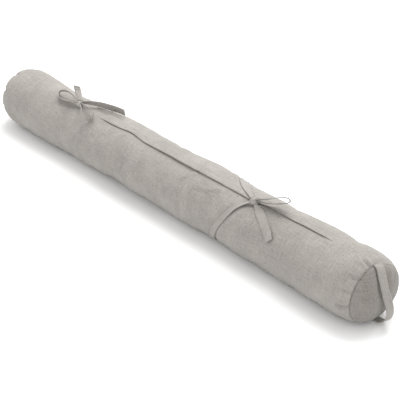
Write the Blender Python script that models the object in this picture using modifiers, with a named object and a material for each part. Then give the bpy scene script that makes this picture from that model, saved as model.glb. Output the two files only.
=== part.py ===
"""Draught excluder: a long filled linen bolster with round end panels and an overlapped opening on top.

Two ribbon ties hold the opening shut with bows, one of them tied right round the bolster, and a strap
handle is sewn into the seam of the near end panel. Metres, +Z up. +X runs along the bolster to the handle
end, -Y is the front, and the origin is at the middle of the underside.
"""

import math
from collections import namedtuple

import bmesh
import bpy
from mathutils import Matrix, Vector

MM = 0.001

# Cloth and gaps
PANEL_THICKNESS = 1.2 * MM
RIBBON_THICKNESS = 1.2 * MM
HANDLE_THICKNESS = 1.8 * MM
GAP = 0.3 * MM
WELD_DISTANCE = 0.001 * MM
SHARP_FROM = 50.0

# Middle of the whole object on the measuring line that the tables below use
BOX_MIDDLE = Vector((0.00487, 0.00035, 0.0))

# The filled body: sections from the far seam to the near seam
Section = namedtuple("Section", "along radius sideways height")
BODY_SECTIONS = (
    Section(-0.4330, 0.0400, -0.0010, 0.0500),
    Section(-0.4300, 0.0465, -0.0010, 0.0500),
    Section(-0.4200, 0.0515, -0.0015, 0.0500),
    Section(-0.4020, 0.0545, -0.0015, 0.0500),
    Section(-0.3600, 0.0540, -0.0015, 0.0495),
    Section(-0.3000, 0.0515, -0.0015, 0.0480),
    Section(-0.2550, 0.0505, -0.0005, 0.0475),
    Section(-0.2000, 0.0525, 0.0005, 0.0485),
    Section(-0.1000, 0.0530, 0.0018, 0.0488),
    Section(0.0000, 0.0525, 0.0012, 0.0486),
    Section(0.0800, 0.0540, 0.0030, 0.0490),
    Section(0.1500, 0.0530, 0.0028, 0.0485),
    Section(0.2100, 0.0525, 0.0018, 0.0482),
    Section(0.2600, 0.0520, 0.0012, 0.0482),
    Section(0.3200, 0.0545, 0.0010, 0.0492),
    Section(0.3700, 0.0550, -0.0005, 0.0495),
    Section(0.4000, 0.0540, -0.0025, 0.0495),
    Section(0.4150, 0.0510, -0.0035, 0.0490),
    Section(0.4225, 0.0475, -0.0035, 0.0485),
    Section(0.4240, 0.0462, -0.0035, 0.0485),
)
FAR_SEAM = BODY_SECTIONS[0]
NEAR_SEAM = BODY_SECTIONS[-1]
POINTS_ROUND = 36
COARSE_STEP = 0.0200
FINE_STEP = 0.0085
FINE_STRETCH = (0.090, 0.225)

# Round end panels, puffed out by the filling
NEAR_CROWN = 0.0240
FAR_CROWN = 0.0190
CROWN_ROUNDNESS = 2.4
CROWN_FULLNESS = 0.6
CROWN_RINGS = (0.94, 0.82, 0.62, 0.34)
FURROW_DEPTH = 0.0060
FURROW_HALF_WIDTH = 0.0220
FURROW_SIDEWAYS = -0.0020
BACK_FLATTENING = 0.45
NEAR_LEAN = 0.0100
LEAN_START = 0.3600
LEAN_LENGTH = 0.0600
LEAN_BULGE = 0.0030
PUCKER_COUNT = 11
PUCKER_DEPTH = 0.6 * MM
PUCKER_FADE = 4
FURROW_STARTS_OVER = 0.020

# Opening along the top: the rear flap laps over the front edge. Turns are degrees from the top to the front.
Route = namedtuple("Route", "along turn")
KeyedRoute = namedtuple("KeyedRoute", ("place",) + Route._fields)
OPENING_ROUTE = (
    Route(-0.185, 15.5),
    Route(-0.130, 15.0),
    Route(-0.100, 12.0),
    Route(-0.060, 16.5),
    Route(0.000, 15.0),
    Route(0.066, 17.5),
    Route(0.130, 16.0),
    Route(0.195, 13.0),
    Route(0.230, 8.0),
    Route(0.290, 9.5),
    Route(0.357, 9.5),
)
OPENING_TAPER = 0.030
OPENING_WIDEST = 0.035
OPENING_WIDE_HALF = 0.110
FLAP_RISE = 0.9 * MM
FLAP_THICKNESS = 1.6 * MM
FRONT_DIP = 1.8 * MM
EXTRA_DIP = 1.4 * MM
POCKET_DEPTH = 3.5 * MM
FOLD_TURN = 0.3
FRONT_EDGE_TURN = 1.2
SLIGHTEST = 0.02
LIP_POINTS = 5
FLAP_FADE = 32.0
DIP_FADE = 20.0

# Right tie: a ribbon tied right round the bolster, its two ends meeting at the knot
RIBBON_WIDTH = 0.0150
FRONT_BAND_WIDTH = 0.0095
RIBBON_FLOOR = RIBBON_THICKNESS / 2 + 0.05 * MM
RIGHT_KNOT = Route(0.1970, 15.0)
BAND_ROUTE = (
    Route(0.1905, 20.0),
    Route(0.1765, 35.0),
    Route(0.1680, 53.0),
    Route(0.1590, 72.0),
    Route(0.1480, 93.0),
    Route(0.1290, 136.0),
    Route(0.1170, 180.0),
    Route(0.1120, 225.0),
    Route(0.1130, 270.0),
    Route(0.1210, 305.0),
    Route(0.1350, 332.0),
    Route(0.1570, 352.0),
    Route(0.1880, 371.0),
)
BAND_STEPS = 58
BAND_LIFT = 1.6 * MM
BAND_TILT_RISE = 2.4 * MM
BAND_TILTED_PART = 0.28
BAND_END_RISE = 2.6 * MM
BAND_END_PART = 0.10
BAND_WIDENS_FROM = 0.30
BAND_WIDENS_OVER = 0.20
GROOVE_DEPTH = 2.6 * MM
GROOVE_HALF_WIDTH = 0.020
FLOOR_RELIEF = 2.3 * MM
FLOOR_RELIEF_HALF_WIDTH = 0.0220
FLOOR_RELIEF_FLAT = 0.0125

# Left tie: its strap comes over from the back and ends at the knot
LEFT_KNOT = Route(-0.2390, 11.0)
LEFT_STRAP_ROUTE = (
    Route(-0.2440, 2.0),
    Route(-0.2500, -13.0),
    Route(-0.2570, -28.0),
    Route(-0.2640, -45.0),
    Route(-0.2700, -62.0),
    Route(-0.2740, -80.0),
)
STRAP_STEPS = 14

KNOT_SIZE = Vector((0.0062, 0.0052, 0.0042))
KNOT_LIFT = 6.8 * MM
PINCHED_WIDTH = 0.0060

# Free ribbon pieces: centre points, the way across the ribbon, and the width there
Bend = namedtuple("Bend", "x y z across_x across_y across_z width")
KeyedBend = namedtuple("KeyedBend", ("place",) + Bend._fields)
RIGHT_LOOP = (
    Bend(0.2052, -0.0120, 0.1040, 0.55, -0.50, 0.40, 0.0050),
    Bend(0.2180, -0.0085, 0.1055, 0.60, -0.55, 0.50, 0.0080),
    Bend(0.2340, -0.0025, 0.1095, 0.62, -0.56, 0.55, 0.0110),
    Bend(0.2480, 0.0030, 0.1145, 0.62, -0.56, 0.55, 0.0130),
    Bend(0.2550, 0.0045, 0.1210, 0.62, -0.56, 0.55, 0.0130),
    Bend(0.2520, 0.0020, 0.1260, 0.62, -0.56, 0.55, 0.0130),
    Bend(0.2410, -0.0020, 0.1240, 0.62, -0.56, 0.55, 0.0130),
    Bend(0.2270, -0.0070, 0.1175, 0.60, -0.55, 0.58, 0.0110),
    Bend(0.2140, -0.0110, 0.1120, 0.55, -0.50, 0.67, 0.0080),
    Bend(0.2055, -0.0135, 0.1090, 0.50, -0.40, 0.77, 0.0060),
)
LEFT_LOOP = (
    Bend(-0.2470, -0.0120, 0.1045, 0.60, -0.60, 0.45, 0.0060),
    Bend(-0.2600, -0.0165, 0.1030, 0.66, -0.62, 0.36, 0.0100),
    Bend(-0.2740, -0.0190, 0.1020, 0.68, -0.64, 0.32, 0.0120),
    Bend(-0.2870, -0.0185, 0.1030, 0.66, -0.62, 0.38, 0.0120),
    Bend(-0.2920, -0.0155, 0.1075, 0.62, -0.57, 0.54, 0.0120),
    Bend(-0.2865, -0.0125, 0.1120, 0.62, -0.57, 0.54, 0.0120),
    Bend(-0.2740, -0.0105, 0.1145, 0.62, -0.57, 0.54, 0.0120),
    Bend(-0.2600, -0.0095, 0.1125, 0.60, -0.56, 0.57, 0.0100),
    Bend(-0.2475, -0.0100, 0.1090, 0.55, -0.55, 0.63, 0.0060),
)
LEFT_LOWER_LOOP = (
    Bend(-0.2301, -0.0155, 0.1063, 0.64, -0.56, 0.52, 0.0050),
    Bend(-0.2184, -0.0232, 0.1067, 0.64, -0.56, 0.52, 0.0070),
    Bend(-0.2069, -0.0317, 0.1066, 0.64, -0.56, 0.52, 0.0095),
    Bend(-0.1992, -0.0367, 0.1033, 0.64, -0.56, 0.52, 0.0100),
    Bend(-0.1941, -0.0362, 0.0996, 0.64, -0.56, 0.52, 0.0100),
    Bend(-0.1898, -0.0327, 0.0982, 0.64, -0.56, 0.52, 0.0100),
    Bend(-0.1865, -0.0275, 0.1000, 0.64, -0.56, 0.52, 0.0100),
    Bend(-0.1860, -0.0226, 0.1047, 0.64, -0.56, 0.52, 0.0100),
    Bend(-0.1887, -0.0197, 0.1093, 0.64, -0.56, 0.52, 0.0100),
    Bend(-0.1957, -0.0184, 0.1114, 0.64, -0.56, 0.52, 0.0095),
    Bend(-0.2098, -0.0164, 0.1095, 0.64, -0.56, 0.52, 0.0080),
    Bend(-0.2258, -0.0133, 0.1074, 0.64, -0.56, 0.52, 0.0050),
)
LEFT_UPRIGHT_TAIL = (
    Bend(-0.2430, -0.0065, 0.1095, 0.60, 0.50, 0.20, 0.0060),
    Bend(-0.2530, -0.0010, 0.1110, 0.72, 0.50, 0.20, 0.0095),
    Bend(-0.2620, 0.0040, 0.1130, 0.80, 0.48, 0.15, 0.0125),
    Bend(-0.2680, 0.0070, 0.1160, 0.85, 0.46, 0.10, 0.0130),
    Bend(-0.2710, 0.0085, 0.1200, 0.88, 0.46, 0.05, 0.0130),
)
LEFT_LONG_TAIL = (
    Bend(-0.2300, -0.0070, 0.1075, 0.10, -0.30, 0.95, 0.0050),
    Bend(-0.2180, 0.0000, 0.1085, 0.05, -0.25, 0.97, 0.0080),
    Bend(-0.2020, 0.0070, 0.1090, 0.00, -0.20, 0.98, 0.0115),
    Bend(-0.1850, 0.0130, 0.1085, 0.00, -0.20, 0.98, 0.0125),
    Bend(-0.1690, 0.0180, 0.1080, 0.00, -0.20, 0.98, 0.0130),
    Bend(-0.1540, 0.0215, 0.1070, 0.00, -0.20, 0.98, 0.0130),
)
HANDLE_BENDS = (
    Bend(0.4268, 0.0025, 0.0972, 0.30, 0.95, 0.00, 0.0130),
    Bend(0.4330, 0.0010, 0.0938, 0.30, 0.95, 0.00, 0.0130),
    Bend(0.4405, -0.0020, 0.0838, 0.30, 0.95, 0.00, 0.0130),
    Bend(0.4485, -0.0040, 0.0690, 0.30, 0.95, 0.00, 0.0130),
    Bend(0.4545, -0.0040, 0.0550, 0.35, 0.94, 0.00, 0.0130),
    Bend(0.4580, -0.0020, 0.0430, 0.30, 0.95, 0.00, 0.0130),
    Bend(0.4584, 0.0000, 0.0290, 0.25, 0.97, 0.00, 0.0130),
    Bend(0.4535, 0.0030, 0.0150, 0.20, 0.98, 0.00, 0.0130),
    Bend(0.4440, 0.0050, 0.0055, 0.15, 0.99, 0.00, 0.0130),
    Bend(0.4350, 0.0070, 0.0020, 0.10, 0.99, 0.00, 0.0130),
    Bend(0.4275, 0.0080, 0.0011, 0.05, 1.00, 0.00, 0.0130),
)
RIGHT_TAIL_ROUTE = (
    Route(0.2090, 23.0),
    Route(0.2190, 27.0),
    Route(0.2300, 34.0),
    Route(0.2420, 43.0),
    Route(0.2530, 52.0),
    Route(0.2610, 60.0),
)
RIGHT_TAIL_STEPS = 14
RIGHT_TAIL_WIDTH = 0.0140
TAIL_END_LIFT = 2.5 * MM
TAIL_LIFTED_PART = 0.30
SPREADING_PART = 0.28
HEADING_STEP = 0.05
LOOP_STEPS = 26
TAIL_STEPS = 14
HANDLE_STEPS = 36

# Colours: red, green, blue of washed grey linen, then roughness
LINEN = (0.485, 0.460, 0.425)
LINEN_PANEL = (0.450, 0.425, 0.390)
LINEN_RIBBON = (0.500, 0.475, 0.440)
LINEN_ROUGHNESS = 0.9


def smooth_row(rows, value, key):
    """Read a table at a value of its key column, along a smooth curve through its rows."""
    last = len(rows) - 1
    fields = [name for name in rows[0]._fields if name != key]
    value = min(max(value, getattr(rows[0], key)), getattr(rows[last], key))
    index = 0
    while index < last - 1 and getattr(rows[index + 1], key) < value:
        index += 1

    def slope(at, field):
        low, high = max(at - 1, 0), min(at + 1, last)
        rise = getattr(rows[high], field) - getattr(rows[low], field)
        return rise / (getattr(rows[high], key) - getattr(rows[low], key))

    start, end = rows[index], rows[index + 1]
    span = getattr(end, key) - getattr(start, key)
    part = (value - getattr(start, key)) / span
    result = {key: value}
    for field in fields:
        first, second = getattr(start, field), getattr(end, field)
        result[field] = (
            (2 * part**3 - 3 * part**2 + 1) * first
            + (part**3 - 2 * part**2 + part) * span * slope(index, field)
            + (3 * part**2 - 2 * part**3) * second
            + (part**3 - part**2) * span * slope(index + 1, field)
        )
    return type(rows[0])(**result)


def ease(part):
    """Rise smoothly from 0 to 1."""
    part = min(max(part, 0.0), 1.0)
    return part * part * (3 - 2 * part)


def mound(distance, half_width):
    """A smooth mound of height 1, which ends at half_width."""
    return ease(1 - abs(distance) / half_width)


def opening_strength(along):
    """How far the overlapped opening shows: 0 beyond its ends, 1 along it."""
    start, end = OPENING_ROUTE[0].along, OPENING_ROUTE[-1].along
    return ease((along - start) / OPENING_TAPER) * ease((end - along) / OPENING_TAPER)


def opening_turn(along):
    return smooth_row(OPENING_ROUTE, along, "along").turn


def band_along(turn):
    """Where the tied band crosses a turn of the body."""
    start = BAND_ROUTE[0].turn
    turn = start + (turn - start) % 360.0
    last = BAND_ROUTE[-1].turn
    if turn <= last:
        return smooth_row(BAND_ROUTE, turn, "turn").along
    part = (turn - last) / (start + 360.0 - last)
    return BAND_ROUTE[-1].along * (1 - part) + BAND_ROUTE[0].along * part


def signed_turn(turn):
    """The same turn between -180 and 180 degrees."""
    return (turn + 180.0) % 360.0 - 180.0


def lean(point):
    """The near end leans: its back half is fuller and reaches further out."""
    back = ease((point.y - NEAR_SEAM.sideways) / NEAR_SEAM.radius)
    back *= ease((point.x - LEAN_START) / LEAN_LENGTH)
    return point + Vector((NEAR_LEAN, LEAN_BULGE, LEAN_BULGE / 2)) * back


def cover_radius(section, along, turn):
    """The cover's radius at a turn, with the groove under the band and the step at the opening."""
    from_band = along - band_along(turn)
    radius = section.radius - GROOVE_DEPTH * mound(from_band, GROOVE_HALF_WIDTH)
    from_opening = signed_turn(turn - opening_turn(along))
    strength = opening_strength(along)
    if from_opening <= 0:
        radius += FLAP_RISE * strength * mound(from_opening, FLAP_FADE)
    else:
        dip = FRONT_DIP + EXTRA_DIP * mound(along - OPENING_WIDEST, OPENING_WIDE_HALF)
        radius -= dip * strength * mound(from_opening, DIP_FADE)
    return radius


def over_body(along, turn, lift, lowest):
    """A point raised by lift above the cover, and no lower than lowest."""
    section = smooth_row(BODY_SECTIONS, along, "along")
    reach = cover_radius(section, along, turn) + lift
    angle = math.radians(turn)
    level = section.height + reach * math.cos(angle)
    return Vector((along, section.sideways - reach * math.sin(angle), max(level, lowest)))


def body_point(along, turn):
    """The body's surface, flat where it rests and raised a little where the band passes under it."""
    from_edge = FLOOR_RELIEF_HALF_WIDTH - abs(along - band_along(turn))
    relief = FLOOR_RELIEF * ease(from_edge / (FLOOR_RELIEF_HALF_WIDTH - FLOOR_RELIEF_FLAT))
    return lean(over_body(along, turn, 0.0, relief))


def lip_points(along):
    """The flap's folded edge and the pocket under it, from its outer edge down to the front cloth."""
    turn = opening_turn(along)
    strength = opening_strength(along)
    edge = body_point(along, turn)
    if strength < SLIGHTEST:
        return [edge] * LIP_POINTS
    section = smooth_row(BODY_SECTIONS, along, "along")
    dip = FRONT_DIP + EXTRA_DIP * mound(along - OPENING_WIDEST, OPENING_WIDE_HALF)
    tuck = math.degrees(POCKET_DEPTH / section.radius) * strength
    drops = (
        (turn + FOLD_TURN * strength, FLAP_THICKNESS * strength),
        (turn - tuck, FLAP_THICKNESS * strength),
        (turn - tuck, (FLAP_RISE + dip) * strength),
        (turn + FRONT_EDGE_TURN * strength, (FLAP_RISE + dip) * strength),
    )
    points = [edge]
    reach = (Vector((0, edge.y, edge.z)) - Vector((0, section.sideways, section.height))).length
    for angle, drop in drops:
        radians = math.radians(angle)
        across = section.sideways - (reach - drop) * math.sin(radians)
        points.append(Vector((along, across, section.height + (reach - drop) * math.cos(radians))))
    return points


def stations():
    """Places along the body where it has a section, closer together at the tied band."""
    places = [row.along for row in BODY_SECTIONS[:3]]
    end = BODY_SECTIONS[-3].along
    while places[-1] < end - COARSE_STEP:
        here = places[-1]
        near_band = FINE_STRETCH[0] - COARSE_STEP < here < FINE_STRETCH[1]
        places.append(here + (FINE_STEP if near_band else COARSE_STEP))
    places.extend(row.along for row in BODY_SECTIONS[-3:])
    return places


def body_ring(along):
    """One section of the body, as points in order from the opening round the front, underside and back."""
    turn = opening_turn(along)
    ring = lip_points(along)
    for index in range(1, POINTS_ROUND):
        ring.append(body_point(along, turn + index * 360.0 / POINTS_ROUND))
    return ring


def crown(part):
    """How far out a puffed end reaches, from 1 at its middle to 0 at its seam."""
    return (1 - min(part, 1.0) ** CROWN_ROUNDNESS) ** CROWN_FULLNESS


def end_ring(seam, side, depth, part, inset, turns):
    """A ring of an end crown at a part of the seam's radius."""
    reach = (seam.radius - inset) * part
    ring = []
    for turn in turns:
        angle = math.radians(turn)
        rim = part**PUCKER_FADE * (1 - part) * 2 * PUCKER_FADE
        pucker = PUCKER_DEPTH * math.cos(PUCKER_COUNT * angle) * rim
        across = seam.sideways - reach * math.sin(angle)
        up = seam.height + reach * math.cos(angle)
        fullness = 1 - BACK_FLATTENING * ease((across - seam.sideways) / seam.radius) if side > 0 else 1.0
        out = (depth - inset) * crown(part) * fullness + pucker
        if side > 0:
            beside = mound(across - FURROW_SIDEWAYS, FURROW_HALF_WIDTH)
            upper = ease((up - seam.height) / FURROW_STARTS_OVER)
            out -= FURROW_DEPTH * beside * math.sin(math.pi * part) * upper
        ring.append(lean(Vector((seam.along + side * out, across, up))))
    return ring


def add_ring(mesh, points):
    return [mesh.verts.new(point) for point in points]


def bridge(mesh, ring, following):
    """Join two rings of the same count with quads."""
    count = len(ring)
    for index in range(count):
        other = (index + 1) % count
        mesh.faces.new((ring[index], ring[other], following[other], following[index]))


def close_end(mesh, ring, point, last):
    tip = mesh.verts.new(point)
    count = len(ring)
    for index in range(count):
        other = (index + 1) % count
        corners = (ring[index], ring[other], tip)
        mesh.faces.new(corners if last else corners[::-1])


def make_object(name, mesh, collection, material):
    """Tidy a bmesh, face it outwards, set it in the part's frame and link it as an object."""
    bmesh.ops.remove_doubles(mesh, verts=mesh.verts, dist=WELD_DISTANCE)
    bmesh.ops.translate(mesh, verts=mesh.verts, vec=-BOX_MIDDLE)
    bmesh.ops.recalc_face_normals(mesh, faces=mesh.faces)
    data = bpy.data.meshes.new(name)
    mesh.to_mesh(data)
    mesh.free()
    data.shade_smooth()
    data.set_sharp_from_angle(angle=math.radians(SHARP_FROM))
    item = bpy.data.objects.new(name, data)
    item.data.materials.append(material)
    collection.objects.link(item)
    return item


def make_body(collection, material):
    """The filled cover, with a shallow recess at each end that the end panels lie on."""
    mesh = bmesh.new()
    places = stations()
    rings = [add_ring(mesh, body_ring(along)) for along in places]
    for ring, following in zip(rings, rings[1:]):
        bridge(mesh, ring, following)
    core_inset = PANEL_THICKNESS + 2 * GAP
    for ring, seam, side, depth in (
        (rings[0], FAR_SEAM, -1, FAR_CROWN),
        (rings[-1], NEAR_SEAM, 1, NEAR_CROWN),
    ):
        turn = opening_turn(seam.along)
        turns = [turn] * LIP_POINTS
        turns += [turn + index * 360.0 / POINTS_ROUND for index in range(1, POINTS_ROUND)]
        previous = ring
        inward = Vector((-side * GAP, 0, 0))
        rows = [end_ring(seam, side, depth, 1.0, GAP, turns)]
        rows += [end_ring(seam, side, depth, part, core_inset, turns) for part in (1.0,) + CROWN_RINGS]
        for points in rows:
            current = add_ring(mesh, [point + inward for point in points])
            bridge(mesh, *((previous, current) if side > 0 else (current, previous)))
            previous = current
        tip = Vector((seam.along + side * (depth - core_inset - GAP), seam.sideways, seam.height))
        close_end(mesh, previous, tip, side > 0)
    return make_object("body", mesh, collection, material)


def make_end_panel(name, seam, side, depth, collection, material):
    """A round panel of cloth, domed by the filling, with its seam edge drawn into small puckers."""
    mesh = bmesh.new()
    turns = [index * 360.0 / POINTS_ROUND for index in range(POINTS_ROUND)]
    rims = []
    for inset in (GAP, PANEL_THICKNESS + GAP):
        rows = [end_ring(seam, side, depth, part, inset, turns) for part in (1.0,) + CROWN_RINGS]
        rings = [add_ring(mesh, row) for row in rows]
        rims.append(rings[0])
        for ring, following in zip(rings, rings[1:]):
            bridge(mesh, ring, following)
        tip = Vector((seam.along + side * (depth - inset), seam.sideways, seam.height))
        close_end(mesh, rings[-1], tip, True)
    bridge(mesh, rims[1], rims[0])
    return make_object(name, mesh, collection, material)


def sheet_object(name, rows, thickness, collection, material):
    """A strip of cloth from its cross rows, given its thickness by Solidify."""
    mesh = bmesh.new()
    verts = [add_ring(mesh, row) for row in rows]
    for row, following in zip(verts, verts[1:]):
        for index in range(len(row) - 1):
            mesh.faces.new((row[index], row[index + 1], following[index + 1], following[index]))
    item = make_object(name, mesh, collection, material)
    solidify = item.modifiers.new("Cloth thickness", "SOLIDIFY")
    solidify.thickness = thickness
    solidify.offset = 0.0
    solidify.use_even_offset = True
    return item


def surface_ribbon(name, route, steps, lifts, widths, collection, material):
    """A ribbon laid on the body. lifts and widths are functions of the part of the way along it."""
    table = [KeyedRoute(index, *row) for index, row in enumerate(route)]
    rows = []
    for step in range(steps + 1):
        part = step / steps
        place = part * (len(route) - 1)
        here = smooth_row(table, place, "place")
        ahead = smooth_row(table, place + HEADING_STEP, "place")
        behind = smooth_row(table, place - HEADING_STEP, "place")
        radius = smooth_row(BODY_SECTIONS, here.along, "along").radius
        run = Vector((ahead.along - behind.along, math.radians(ahead.turn - behind.turn) * radius))
        run.normalize()
        across = Vector((-run.y, run.x))
        row = []
        for side in (-1.0, 0.0, 1.0):
            reach = across * side * widths(part) / 2
            turn = here.turn + math.degrees(reach.y / radius)
            row.append(over_body(here.along + reach.x, turn, lifts(part, side), RIBBON_FLOOR))
        rows.append(row)
    return sheet_object(name, rows, RIBBON_THICKNESS, collection, material)


def free_ribbon(name, bends, steps, thickness, collection, material):
    """A ribbon that runs free in the air through its bends."""
    table = [KeyedBend(index, *bend) for index, bend in enumerate(bends)]
    rows = []
    for step in range(steps + 1):
        here = smooth_row(table, step / steps * (len(bends) - 1), "place")
        centre = Vector((here.x, here.y, here.z))
        across = Vector((here.across_x, here.across_y, here.across_z)).normalized()
        rows.append([centre + across * side * here.width / 2 for side in (-1.0, 0.0, 1.0)])
    return sheet_object(name, rows, thickness, collection, material)


def make_band(collection, material):
    """The right tie's ribbon, from the knot down the front, under the body and up the back to the knot."""

    def lifts(part, side):
        on_front = ease(1 - part / BAND_TILTED_PART)
        at_end = ease(1 - (1 - part) / BAND_END_PART)
        return BAND_LIFT + BAND_TILT_RISE * on_front * (side + 1) / 2 + BAND_END_RISE * at_end

    def widths(part):
        widening = ease((part - BAND_WIDENS_FROM) / BAND_WIDENS_OVER)
        full = FRONT_BAND_WIDTH + (RIBBON_WIDTH - FRONT_BAND_WIDTH) * widening
        pinch = ease(min(part, 1 - part) / BAND_END_PART)
        return PINCHED_WIDTH + (full - PINCHED_WIDTH) * pinch

    return surface_ribbon("right_tie_band", BAND_ROUTE, BAND_STEPS, lifts, widths, collection, material)


def make_right_tail(collection, material):
    """The right tie's free end, lying down the front, its cut end a little lifted."""

    def lifts(part, side):
        return BAND_LIFT + TAIL_END_LIFT * ease(1 - (1 - part) / TAIL_LIFTED_PART)

    def widths(part):
        return PINCHED_WIDTH + (RIGHT_TAIL_WIDTH - PINCHED_WIDTH) * ease(part / SPREADING_PART)

    route, steps = RIGHT_TAIL_ROUTE, RIGHT_TAIL_STEPS
    return surface_ribbon("right_tie_tail", route, steps, lifts, widths, collection, material)


def make_left_strap(collection, material):
    """The left tie's ribbon, from the knot over the top to the back, where it is sewn on."""

    def lifts(part, side):
        return BAND_LIFT

    def widths(part):
        return PINCHED_WIDTH + (RIBBON_WIDTH - PINCHED_WIDTH) * ease(part / SPREADING_PART)

    route, steps = LEFT_STRAP_ROUTE, STRAP_STEPS
    return surface_ribbon("left_tie_strap", route, steps, lifts, widths, collection, material)


def make_knot(name, place, collection, material):
    """A small rounded knot that sits on the body."""
    mesh = bmesh.new()
    bmesh.ops.create_uvsphere(mesh, u_segments=14, v_segments=8, radius=1.0)
    tilt = Matrix.Rotation(math.radians(place.turn), 4, "X")
    seat = Matrix.Translation(over_body(place.along, place.turn, KNOT_LIFT, 0.0))
    bmesh.ops.transform(mesh, matrix=seat @ tilt @ Matrix.Diagonal(KNOT_SIZE).to_4x4(), verts=mesh.verts)
    return make_object(name, mesh, collection, material)


def cloth(name, colour):
    """Matt linen of one colour."""
    material = bpy.data.materials.new(name)
    material.use_nodes = True
    shader = material.node_tree.nodes["Principled BSDF"]
    shader.inputs["Base Color"].default_value = (*colour, 1.0)
    shader.inputs["Roughness"].default_value = LINEN_ROUGHNESS
    shader.inputs["Metallic"].default_value = 0.0
    return material


def main():
    for item in list(bpy.data.objects):
        bpy.data.objects.remove(item, do_unlink=True)
    collection = bpy.data.collections.new("Draught excluder")
    bpy.context.scene.collection.children.link(collection)
    make_body(collection, cloth("Linen cover", LINEN))
    panel = cloth("Linen end panel", LINEN_PANEL)
    make_end_panel("end_panel_near", NEAR_SEAM, 1, NEAR_CROWN, collection, panel)
    make_end_panel("end_panel_far", FAR_SEAM, -1, FAR_CROWN, collection, panel)
    strap = cloth("Linen handle", LINEN_RIBBON)
    free_ribbon("handle", HANDLE_BENDS, HANDLE_STEPS, HANDLE_THICKNESS, collection, strap)
    ribbon = cloth("Linen ribbon", LINEN_RIBBON)
    make_band(collection, ribbon)
    make_right_tail(collection, ribbon)
    make_left_strap(collection, ribbon)
    for name, bends, steps in (
        ("right_tie_loop", RIGHT_LOOP, LOOP_STEPS),
        ("left_tie_loop", LEFT_LOOP, LOOP_STEPS),
        ("left_tie_lower_loop", LEFT_LOWER_LOOP, LOOP_STEPS),
        ("left_tie_upright_tail", LEFT_UPRIGHT_TAIL, TAIL_STEPS),
        ("left_tie_long_tail", LEFT_LONG_TAIL, TAIL_STEPS),
    ):
        free_ribbon(name, bends, steps, RIBBON_THICKNESS, collection, ribbon)
    make_knot("right_tie_knot", RIGHT_KNOT, collection, ribbon)
    make_knot("left_tie_knot", LEFT_KNOT, collection, ribbon)


main()
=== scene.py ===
"""Draught excluder: a filled linen cover with round end panels, a strap handle and two ribbon ties in bows.

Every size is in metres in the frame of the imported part: +X runs to the handle end, -Y is the front, +Z is up.
Turns are degrees round the bolster, from its top towards the front.
"""

import math
from collections import namedtuple
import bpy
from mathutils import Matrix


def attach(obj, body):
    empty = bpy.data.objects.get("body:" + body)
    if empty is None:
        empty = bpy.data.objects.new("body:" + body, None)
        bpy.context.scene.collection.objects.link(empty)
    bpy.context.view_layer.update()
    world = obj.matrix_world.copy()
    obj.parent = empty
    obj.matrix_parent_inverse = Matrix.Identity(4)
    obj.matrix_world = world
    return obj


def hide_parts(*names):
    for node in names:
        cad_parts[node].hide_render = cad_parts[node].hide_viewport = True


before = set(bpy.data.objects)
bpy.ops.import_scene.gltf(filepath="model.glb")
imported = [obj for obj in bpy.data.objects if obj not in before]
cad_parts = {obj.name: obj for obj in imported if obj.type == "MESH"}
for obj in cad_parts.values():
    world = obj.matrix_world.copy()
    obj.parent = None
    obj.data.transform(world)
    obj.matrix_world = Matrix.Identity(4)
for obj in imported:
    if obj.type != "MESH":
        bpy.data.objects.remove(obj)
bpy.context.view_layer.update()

from types import SimpleNamespace

import bmesh
import bpy
import numpy as np
from mathutils import Matrix, Vector, noise
from mathutils.bvhtree import BVHTree

bl_info = {
    "name": "Linen draught excluder",
    "version": (1, 0, 0),
    "blender": (4, 5, 0),
    "location": "3D View > Sidebar > Draught excluder",
    "description": "Builds a filled linen draught excluder with its ties, handle and stitches",
    "category": "Add Mesh",
}

MM = 0.001

# Middle of the whole object on the measuring line that the tables below use
BOX_MIDDLE = np.array((0.00487, 0.00035, 0.0))

# The filled cover: sections from the far seam to the near seam
Section = namedtuple("Section", "along radius sideways height")
BODY_SECTIONS = (
    Section(-0.4330, 0.0400, -0.0010, 0.0500),
    Section(-0.4300, 0.0465, -0.0010, 0.0500),
    Section(-0.4200, 0.0515, -0.0015, 0.0500),
    Section(-0.4020, 0.0545, -0.0015, 0.0500),
    Section(-0.3600, 0.0540, -0.0015, 0.0495),
    Section(-0.3000, 0.0515, -0.0015, 0.0480),
    Section(-0.2550, 0.0505, -0.0005, 0.0475),
    Section(-0.2000, 0.0525, 0.0005, 0.0485),
    Section(-0.1000, 0.0530, 0.0018, 0.0488),
    Section(0.0000, 0.0525, 0.0012, 0.0486),
    Section(0.0800, 0.0540, 0.0030, 0.0490),
    Section(0.1500, 0.0530, 0.0028, 0.0485),
    Section(0.2100, 0.0525, 0.0018, 0.0482),
    Section(0.2600, 0.0520, 0.0012, 0.0482),
    Section(0.3200, 0.0545, 0.0010, 0.0492),
    Section(0.3700, 0.0550, -0.0005, 0.0495),
    Section(0.4000, 0.0540, -0.0025, 0.0495),
    Section(0.4150, 0.0510, -0.0035, 0.0490),
    Section(0.4225, 0.0475, -0.0035, 0.0485),
    Section(0.4240, 0.0462, -0.0035, 0.0485),
)
FAR_SEAM = BODY_SECTIONS[0]
NEAR_SEAM = BODY_SECTIONS[-1]
STATION_STEP = 0.0070
POINTS_ROUND = 76
POINTS_ROUND_PANEL = 132
NEAR_CROWN, FAR_CROWN = 0.0240, 0.0190
CROWN_ROUNDNESS, CROWN_FULLNESS = 2.4, 0.6
CORE_RINGS = (0.94, 0.82, 0.62, 0.34)
PANEL_RINGS = (0.985, 0.96, 0.92, 0.87, 0.80, 0.72, 0.62, 0.50, 0.38, 0.25, 0.12)
PANEL_THICKNESS = 1.2 * MM
GAP = 0.3 * MM
BACK_FLATTENING = 0.45
FURROW = SimpleNamespace(depth=0.0060, half_width=0.0220, sideways=-0.0020, starts_over=0.0200)
PUCKER = SimpleNamespace(count=17, depth=0.9 * MM, fade=5)
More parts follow.
